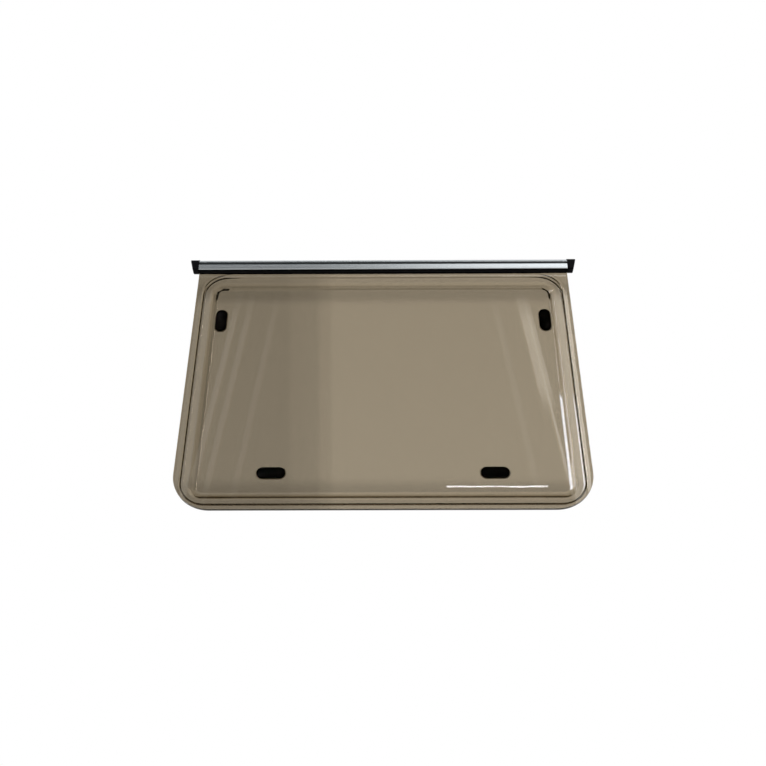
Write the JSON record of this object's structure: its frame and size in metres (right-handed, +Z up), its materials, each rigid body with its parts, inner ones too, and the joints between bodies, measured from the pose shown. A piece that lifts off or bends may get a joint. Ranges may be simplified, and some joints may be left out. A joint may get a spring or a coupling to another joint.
{
  "type": "top-hung caravan window with hinge rail",
  "caption": "Top-hung caravan window: flat tinted acrylic outer pane bonded to a formed inner skin, hung by its top edge from a hooded aluminium hinge rail with black end caps",
  "frame": {"origin": "middle of the rail's flat back face, on the line of its screws, in the plane of the vehicle's outer wall", "axes": "+X along the rail to the right as seen from outside, +Y into the vehicle, +Z up"},
  "size_m": [0.9452, 0.042, 0.6788],
  "materials": {
    "tinted_acrylic": "bronze-tinted cast acrylic, polished",
    "anodised_aluminium": "natural satin anodised extrusion",
    "black_anodised_aluminium": "black anodised extrusion",
    "grey_pvc": "dark grey extruded strip",
    "black_rubber": "extruded EPDM",
    "black_abs": "fine moulded grain",
    "bonding_pad": "pale acrylic foam"
  },
  "bodies": {
    "root": {"outer_pane": "tinted_acrylic", "inner_pane": "tinted_acrylic", "hinge_rail": "anodised_aluminium", "sash_profile": "black_anodised_aluminium", "rail_cover_strip": "grey_pvc", "hinge_seal": "black_rubber", "end_cap_left": "black_abs", "end_cap_right": "black_abs", "catch_block_left": "black_abs", "catch_block_right": "black_abs", "stay_block_left": "black_abs", "stay_block_right": "black_abs", "catch_bond_pad_left": "bonding_pad", "catch_bond_pad_right": "bonding_pad", "stay_bond_pad_left": "bonding_pad", "stay_bond_pad_right": "bonding_pad"}
  },
  "joints": []
}
